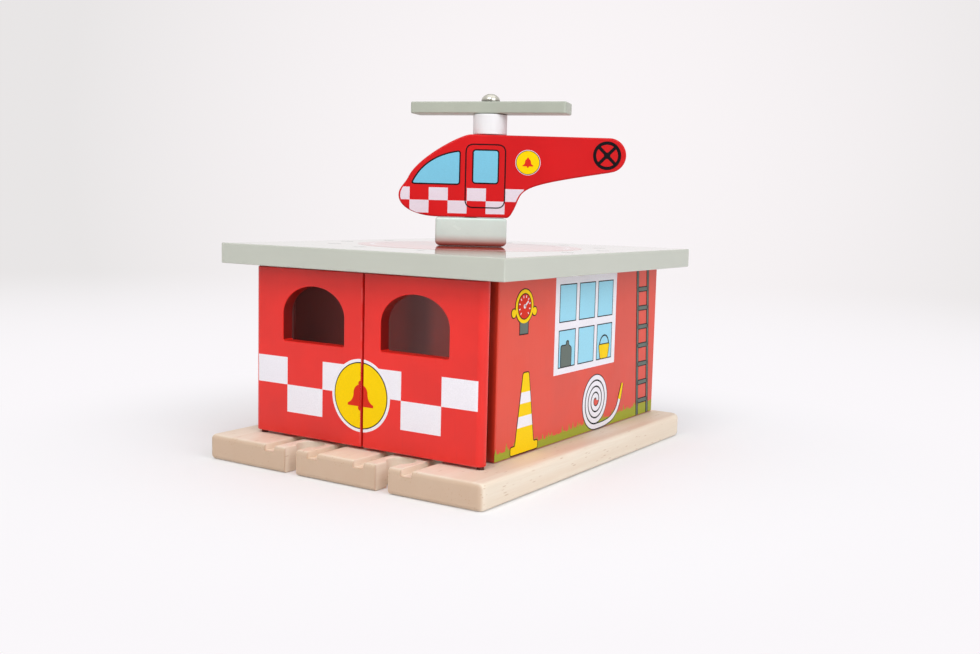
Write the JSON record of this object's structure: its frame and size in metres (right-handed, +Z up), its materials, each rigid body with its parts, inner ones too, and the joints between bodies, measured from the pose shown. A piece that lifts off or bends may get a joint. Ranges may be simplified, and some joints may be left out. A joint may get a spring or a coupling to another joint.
{
  "type": "toy fire station",
  "caption": "Wooden toy fire station: a shed with swing doors on a track board, and a helicopter with a turning rotor on its flat roof.",
  "frame": {"origin": "middle of the track board's underside", "axes": "+Z up, +Y from the doors to the back wall, +X to the right seen from the front"},
  "size_m": [0.1606, 0.203, 0.1804],
  "materials": {
    "board_wood": "sanded beech, satin",
    "pin_wood": "plain turned beech",
    "wall_red": "red paint, semi-gloss, with flat printed pictures",
    "door_red": "red paint, semi-gloss, with a flat printed pattern",
    "roof_grey": "pale grey-green paint, gloss, with a flat printed pad",
    "stand_grey": "pale grey paint, gloss",
    "helicopter_red": "red paint, gloss, with a flat printed pattern",
    "mast_white": "white paint, satin",
    "rotor_grey": "grey-green paint, satin",
    "screw_steel": "bright nickel plate"
  },
  "bodies": {
    "station": {"base_board": "board_wood", "left_wall": "wall_red", "right_wall": "wall_red", "back_wall": "wall_red", "roof_board": "roof_grey", "left_wall_screw_1": "screw_steel", "left_wall_screw_2": "screw_steel", "right_wall_screw_1": "screw_steel", "right_wall_screw_2": "screw_steel", "back_wall_screw_1": "screw_steel", "back_wall_screw_2": "screw_steel", "left_wall_dowel_1": "pin_wood", "left_wall_dowel_2": "pin_wood", "right_wall_dowel_1": "pin_wood", "right_wall_dowel_2": "pin_wood"},
    "left_door": {"left_door": "door_red", "left_door_lower_pin": "pin_wood", "left_door_upper_pin": "pin_wood"},
    "right_door": {"right_door": "door_red", "right_door_lower_pin": "pin_wood", "right_door_upper_pin": "pin_wood"},
    "helicopter": {"helicopter_body": "helicopter_red", "stand_block": "stand_grey", "stand_dowel": "pin_wood", "rotor_mast": "mast_white", "rotor_screw": "screw_steel"},
    "rotor": {"rotor_blade": "rotor_grey"}
  },
  "joints": [
    {"name": "left_door_hinge", "type": "hinge", "parent": "station", "child": "left_door", "pos_m": [-0.063, -0.0797, 0.0531], "axis": [0, 0, -1], "range_deg": [-34, 240]},
    {"name": "right_door_hinge", "type": "hinge", "parent": "station", "child": "right_door", "pos_m": [0.063, -0.0797, 0.0531], "axis": [0, 0, 1], "range_deg": [-34, 240]},
    {"name": "helicopter_lift", "type": "slide", "parent": "station", "child": "helicopter", "axis": [0, 0, 1], "range_m": [0, 0.08]},
    {"name": "rotor_spin", "type": "hinge", "parent": "helicopter", "child": "rotor", "pos_m": [0.00713, 0.00769, 0.1731], "axis": [0, 0, 1], "continuous": true}
  ]
}
